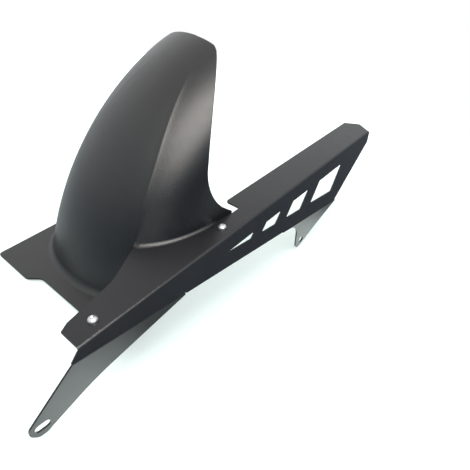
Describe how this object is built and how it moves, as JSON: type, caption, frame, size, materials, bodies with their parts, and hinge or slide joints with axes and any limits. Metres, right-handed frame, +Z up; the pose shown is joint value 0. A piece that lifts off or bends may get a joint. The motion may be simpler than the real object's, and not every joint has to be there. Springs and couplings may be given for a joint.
{
  "type": "rear hugger mudguard",
  "caption": "Rear hugger mudguard: moulded black arch over the rear tyre, bolted to a folded black chain guard with a slotted front arm, a rear tab and slanted windows.",
  "frame": {"origin": "centre of the fixing hole in the guard's rear tab, on the tab's outer face", "axes": "+X rearward along the guard's top fold, +Y inward towards the wheel, +Z up"},
  "size_m": [0.5895, 0.2682, 0.2363],
  "materials": {
    "moulding": "fine textured matte black",
    "guard": "satin black powder coat",
    "fasteners": "bright stainless"
  },
  "bodies": {
    "root": {"hugger_shell": "moulding", "guard_top_plate": "guard", "guard_side_plate": "guard", "guard_front_arm": "guard", "guard_rear_tab": "guard", "guard_screws": "fasteners", "guard_washers": "fasteners", "guard_nuts": "fasteners"}
  },
  "joints": []
}
